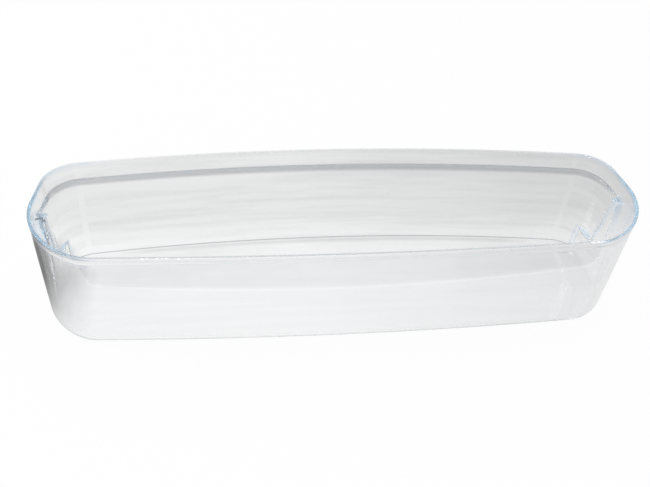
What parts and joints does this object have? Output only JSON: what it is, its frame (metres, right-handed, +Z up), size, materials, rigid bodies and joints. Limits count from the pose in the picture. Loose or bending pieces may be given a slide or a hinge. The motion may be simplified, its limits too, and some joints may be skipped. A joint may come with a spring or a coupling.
{
  "type": "fridge door shelf",
  "caption": "Clear moulded fridge door shelf: a long open tray with a bowed front, a stepped back wall and a locating pocket in each end wall.",
  "frame": {"origin": "middle of the underside, half way between the two ends and between front and back", "axes": "+X along the shelf to the right as seen from its front, +Y from the front to the door, +Z up"},
  "size_m": [0.4714, 0.1273, 0.1],
  "materials": {
    "clear_plastic": "clear and glossy, with a faint blue depth in thick edges, faint flow marks along the back wall and a satin face on the ledge inside the back wall"
  },
  "bodies": {
    "root": {"door_shelf": "clear_plastic"}
  },
  "joints": []
}
